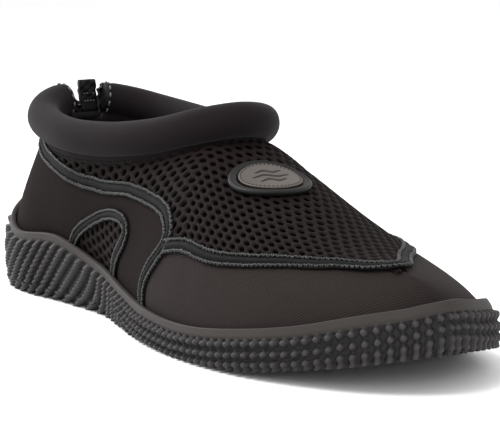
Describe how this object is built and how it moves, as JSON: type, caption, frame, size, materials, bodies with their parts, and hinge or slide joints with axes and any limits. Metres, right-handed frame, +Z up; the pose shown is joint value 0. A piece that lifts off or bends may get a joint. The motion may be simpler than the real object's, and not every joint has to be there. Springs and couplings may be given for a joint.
{
  "type": "neoprene water shoe",
  "caption": "Low slip-on left water shoe: studded rubber sole, neoprene and mesh upper with taped seams, padded roll collar split at the heel, folding pull tab and plain oval badge.",
  "frame": {"origin": "on the ground, under the middle of the shoe's bounding box", "axes": "+X from heel to toe, +Y to the outer side of the left foot, +Z up"},
  "size_m": [0.2854, 0.1022, 0.0849],
  "materials": {
    "outsole_rubber": "matte moulded rubber with fine studs",
    "neoprene": "brushed jersey bonded to neoprene, fine diagonal rib",
    "collar_neoprene": "smooth stretched knit over foam",
    "mesh_fabric": "open knitted mesh, matte",
    "inner_fabric": "brushed knit, matte",
    "seam_tape": "satin flat tape with overlock stitches",
    "webbing": "woven webbing, matte",
    "foam": "soft closed-cell foam, matte",
    "badge_rubber": "moulded soft rubber, satin",
    "badge_satin": "satin printed film"
  },
  "bodies": {
    "shoe": {"outsole": "outsole_rubber", "strobel_board": "inner_fabric", "footbed_foam": "foam", "footbed_cover": "inner_fabric", "toe_panel": "neoprene", "vamp_mesh": "mesh_fabric", "vamp_lining": "inner_fabric", "toe_seam_tape": "seam_tape", "quarter_panel_medial": "neoprene", "quarter_seam_tape_medial": "seam_tape", "arch_window_mesh_medial": "mesh_fabric", "arch_window_tape_medial": "seam_tape", "quarter_panel_lateral": "neoprene", "quarter_seam_tape_lateral": "seam_tape", "arch_window_mesh_lateral": "mesh_fabric", "arch_window_tape_lateral": "seam_tape", "collar_cover": "collar_neoprene", "collar_foam": "foam", "heel_seam_tape": "webbing", "badge_base": "badge_rubber", "badge_plate": "badge_satin"},
    "pull_tab": {"heel_pull_tab": "webbing"}
  },
  "joints": [
    {"name": "tab_fold", "type": "hinge", "parent": "shoe", "child": "pull_tab", "pos_m": [-0.10667, 0.00437, 0.0721], "axis": [0, 1, 0], "range_deg": [-35, 60]}
  ]
}
